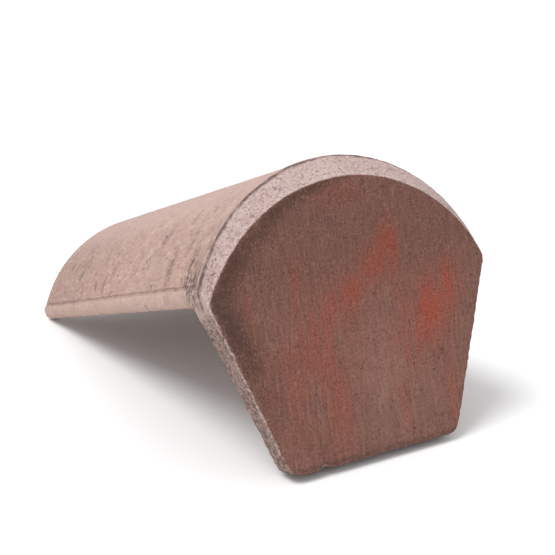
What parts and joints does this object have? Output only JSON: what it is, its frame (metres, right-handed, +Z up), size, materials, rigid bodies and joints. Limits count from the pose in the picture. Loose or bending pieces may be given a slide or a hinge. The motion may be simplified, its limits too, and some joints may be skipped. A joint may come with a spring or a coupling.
{
  "type": "half round ridge tile",
  "caption": "Arched concrete ridge tile with a bevelled, blocked end whose plate tapers down below the barrel.",
  "frame": {"origin": "on the floor under the middle of the tile's box, as the tile lies by itself", "axes": "+Z up; +Y from the blocked end towards the open end, which lies lower; +X across the tile"},
  "size_m": [0.255, 0.4916, 0.2289],
  "materials": {
    "concrete": "rough cast, unglazed"
  },
  "bodies": {
    "root": {"ridge_tile": "concrete"}
  },
  "joints": []
}
